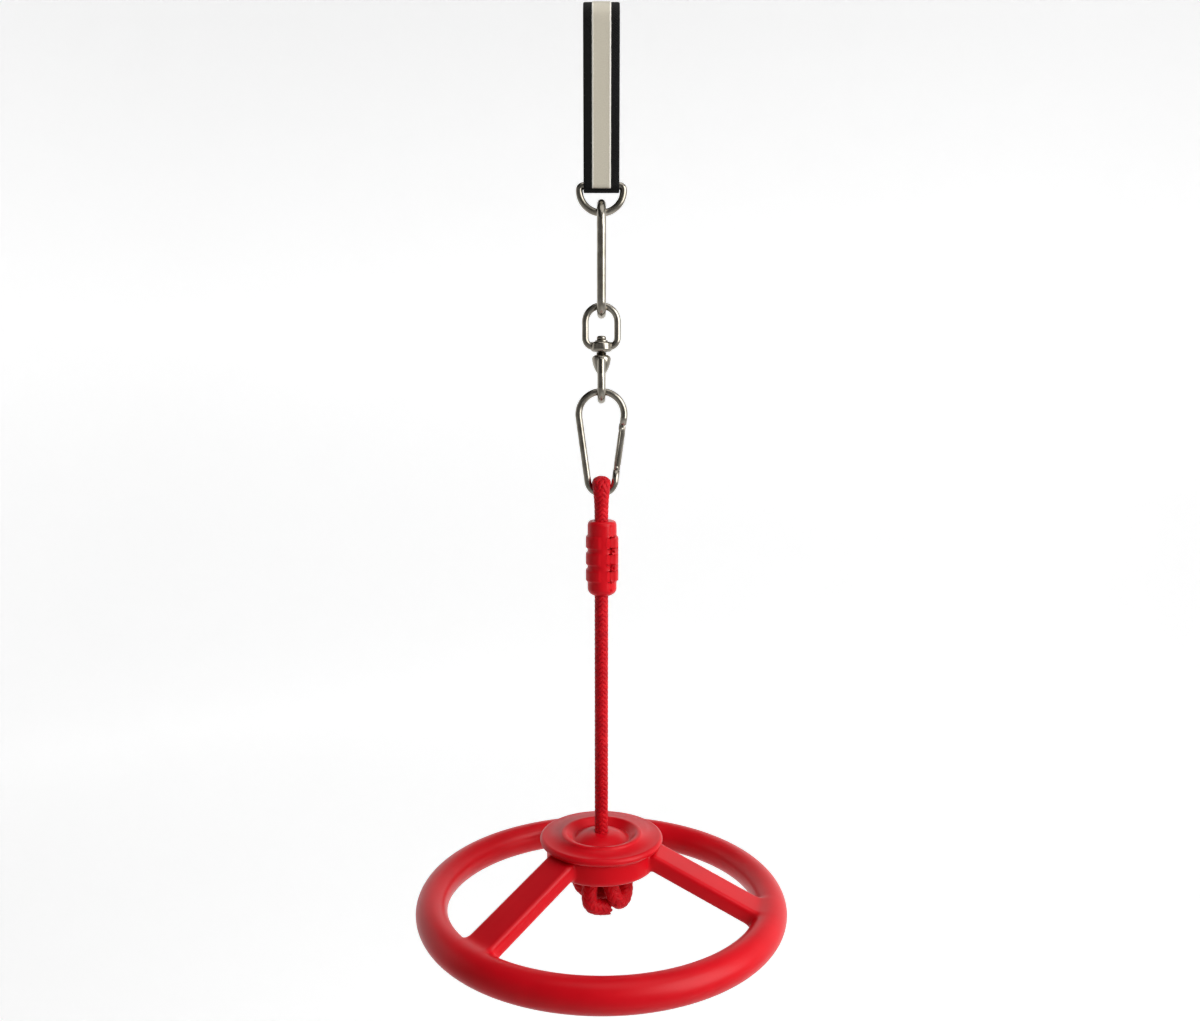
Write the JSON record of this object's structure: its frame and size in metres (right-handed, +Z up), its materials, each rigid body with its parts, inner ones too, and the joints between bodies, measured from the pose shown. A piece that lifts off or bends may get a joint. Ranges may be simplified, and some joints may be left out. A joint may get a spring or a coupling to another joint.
{
  "type": "hanging play wheel",
  "caption": "Hanging grip wheel for a play line: strap loop, two snap hooks, swivel, braided rope with clamp and knot, and a spinning three-spoke wheel.",
  "frame": {"origin": "on the axis of the bar that the strap hangs from, in the middle of the strap's width", "axes": "+X along the bar, +Z up, the strap's reflective face and the wheel's front toward -Y"},
  "size_m": [0.2738, 0.2738, 0.6546],
  "materials": {
    "black_webbing": "matte",
    "reflective_tape": "satin",
    "nickel_steel": "polished",
    "spring_steel": "satin",
    "red_rope": "satin",
    "red_plastic": "satin"
  },
  "bodies": {
    "strap": {"strap_webbing": "black_webbing", "strap_overlap": "black_webbing", "reflective_tape": "reflective_tape"},
    "d_ring": {"d_ring": "nickel_steel"},
    "upper_hook": {"upper_hook_body": "nickel_steel"},
    "upper_gate": {"upper_hook_gate": "nickel_steel", "upper_hook_hinge_pin": "nickel_steel", "upper_hook_latch_pin": "nickel_steel", "upper_hook_gate_spring": "spring_steel"},
    "swivel_top": {"swivel_upper_eye": "nickel_steel"},
    "swivel_bottom": {"swivel_lower_eye": "nickel_steel", "swivel_rivet": "nickel_steel", "swivel_washer": "nickel_steel"},
    "lower_hook": {"lower_hook_body": "nickel_steel"},
    "lower_gate": {"lower_hook_gate": "nickel_steel", "lower_hook_hinge_pin": "nickel_steel", "lower_hook_latch_pin": "nickel_steel", "lower_hook_gate_spring": "spring_steel"},
    "rope": {"rope": "red_rope", "rope_clamp_front": "red_plastic", "rope_clamp_back": "red_plastic"},
    "knot": {"rope_in_hub": "red_rope", "rope_knot": "red_rope"},
    "wheel": {"hub_cap": "red_plastic", "wheel_upper_shell": "red_plastic", "wheel_lower_shell": "red_plastic"}
  },
  "joints": [
    {"name": "d_ring_swing", "type": "hinge", "parent": "strap", "child": "d_ring", "pos_m": [0, 0, -0.1071], "axis": [1, 0, 0], "range_deg": [-80, 80]},
    {"name": "upper_hook_swing", "type": "hinge", "parent": "d_ring", "child": "upper_hook", "pos_m": [0, 0, -0.1101], "axis": [0, 1, 0], "range_deg": [-45, 45]},
    {"name": "upper_gate_open", "type": "hinge", "parent": "upper_hook", "child": "upper_gate", "pos_m": [0, 0.01523, -0.14605], "axis": [-1, 0, 0], "range_deg": [0, 22], "stiffness_Nm_per_rad": 0.1, "springref_deg": -22.92, "deforming": ["upper_hook_gate_spring"]},
    {"name": "swivel_swing", "type": "hinge", "parent": "upper_hook", "child": "swivel_top", "pos_m": [0, 0, -0.1897], "axis": [1, 0, 0], "range_deg": [-60, 60]},
    {"name": "swivel_spin", "type": "hinge", "parent": "swivel_top", "child": "swivel_bottom", "pos_m": [0, 0, -0.2221], "axis": [0, 0, 1], "continuous": true},
    {"name": "lower_hook_swing", "type": "hinge", "parent": "swivel_bottom", "child": "lower_hook", "pos_m": [0, 0, -0.2557], "axis": [0, 1, 0], "range_deg": [-60, 60]},
    {"name": "lower_gate_open", "type": "hinge", "parent": "lower_hook", "child": "lower_gate", "pos_m": [0.01497, 0, -0.27632], "axis": [0, 1, 0], "range_deg": [0, 22], "stiffness_Nm_per_rad": 0.1, "springref_deg": -22.92, "deforming": ["lower_hook_gate_spring"]},
    {"name": "rope_swing", "type": "hinge", "parent": "lower_hook", "child": "rope", "pos_m": [0, 0, -0.3229], "axis": [1, 0, 0], "range_deg": [-60, 60]},
    {"name": "wheel_tilt", "type": "hinge", "parent": "rope", "child": "knot", "pos_m": [0, 0, -0.569], "axis": [0, 1, 0], "range_deg": [-45, 45]},
    {"name": "wheel_spin", "type": "hinge", "parent": "knot", "child": "wheel", "pos_m": [0, 0, -0.5995], "axis": [0, 0, 1], "continuous": true}
  ]
}
